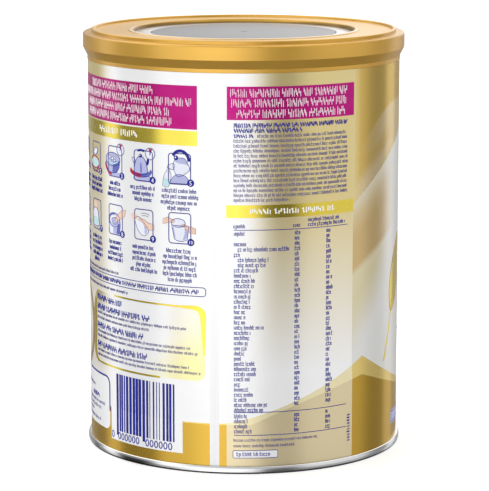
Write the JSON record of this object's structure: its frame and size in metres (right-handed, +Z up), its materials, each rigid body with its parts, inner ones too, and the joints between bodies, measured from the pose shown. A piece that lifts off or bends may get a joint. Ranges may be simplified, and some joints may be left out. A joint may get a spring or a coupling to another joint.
{
  "type": "milk powder tin",
  "caption": "Shut round tin for milk powder: printed straight wall, bare seamed-on end below, and a gold plastic overcap with a ridge and a round window on top.",
  "frame": {"origin": "middle of the base, on the surface that the tin stands on", "axes": "+Z up along the tin's axis; -Y faces the welded side seam, which is the side that the picture shows; +X is to the right in that view"},
  "size_m": [0.1308, 0.1308, 0.1703],
  "materials": {
    "printed_tinplate": "gloss varnished print over tinplate, white and gold ground",
    "bare_tinplate": "bright rolled tinplate",
    "gold_plastic": "satin gold pearl moulding",
    "white_plastic": "gloss white moulding",
    "grey_plastic": "satin silver-grey moulding"
  },
  "bodies": {
    "root": {"tin_body": "printed_tinplate", "bottom_end": "bare_tinplate", "overcap": "gold_plastic", "window_ring": "white_plastic", "window_disc": "grey_plastic"}
  },
  "joints": []
}
